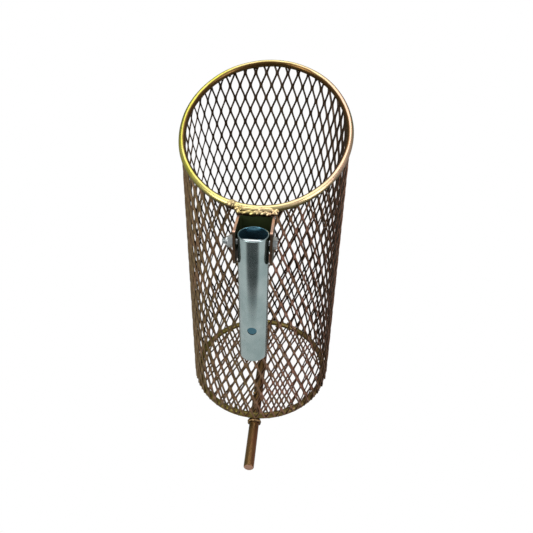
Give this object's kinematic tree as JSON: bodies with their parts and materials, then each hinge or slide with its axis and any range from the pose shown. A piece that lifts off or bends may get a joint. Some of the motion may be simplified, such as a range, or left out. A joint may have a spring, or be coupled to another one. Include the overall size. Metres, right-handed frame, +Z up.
{
  "type": "mesh catch basket with pole socket",
  "caption": "Leaning cylindrical basket of expanded steel mesh with a slanted ringed mouth, a round tail rod under its base and a swinging pole socket.",
  "frame": {"origin": "middle of the whole footprint, on the surface that the tail rod lies on", "axes": "+Z up from that surface, -Y along the tail rod towards its free end and the mouth's low side, X across the basket along the pivot bolt"},
  "size_m": [0.198, 0.309, 0.4091],
  "materials": {
    "zinc_mesh": "yellow zinc over expanded steel, satin, brown with copper-pink knuckles",
    "yellow_zinc_bar": "yellow zinc over round bar, olive gold shading to pink copper",
    "yellow_zinc_plate": "yellow zinc over flat bar, dark green-olive with copper edges",
    "clear_zinc_tube": "clear blue zinc, satin, lightly scuffed",
    "bright_zinc_fastener": "bright zinc, machined",
    "nylon": "natural nylon",
    "plated_weld": "rippled weld under yellow zinc, gold and brown"
  },
  "bodies": {
    "basket": {"wall_mesh": "zinc_mesh", "bottom_mesh": "zinc_mesh", "mouth_ring": "yellow_zinc_bar", "base_ring": "yellow_zinc_bar", "tail_rod": "yellow_zinc_bar", "bracket": "yellow_zinc_plate", "pivot_bolt": "bright_zinc_fastener", "lock_nut": "bright_zinc_fastener", "nut_insert": "nylon", "bracket_weld": "plated_weld", "bracket_corner_welds": "plated_weld", "mouth_ring_joint_weld": "plated_weld", "base_ring_joint_weld": "plated_weld", "mouth_tack_welds": "plated_weld", "base_tack_welds": "plated_weld", "floor_tack_welds": "plated_weld", "wall_seam_welds": "plated_weld", "rod_weld_front": "plated_weld", "rod_weld_back": "plated_weld"},
    "socket": {"pole_socket": "clear_zinc_tube"}
  },
  "joints": [
    {"name": "socket_swing", "type": "hinge", "parent": "basket", "child": "socket", "pos_m": [0, -0.08565, 0.29122], "axis": [-1, 0, 0], "range_deg": [0, 195]}
  ]
}
